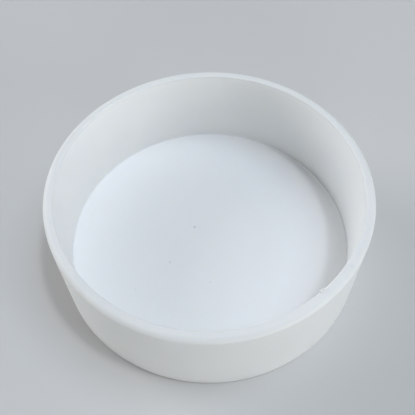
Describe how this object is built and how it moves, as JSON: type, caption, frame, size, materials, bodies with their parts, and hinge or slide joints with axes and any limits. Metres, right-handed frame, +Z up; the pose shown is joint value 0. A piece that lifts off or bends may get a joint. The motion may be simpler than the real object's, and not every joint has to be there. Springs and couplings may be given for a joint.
{
  "type": "resin casting mould",
  "caption": "Round, open-topped casting mould in soft translucent silicone, with straight walls, a flat rim and a flat, smooth floor, for discs of resin, wax or soap.",
  "frame": {"origin": "centre of the underside, on the surface that the mould stands on", "axes": "+Z up along the mould's round axis, out of its open top; +X and +Y are any two directions across it"},
  "size_m": [0.1086, 0.1086, 0.036],
  "materials": {
    "silicone": "cast translucent silicone, satin walls and a smoother floor"
  },
  "bodies": {
    "root": {"silicone_mould": "silicone"}
  },
  "joints": []
}
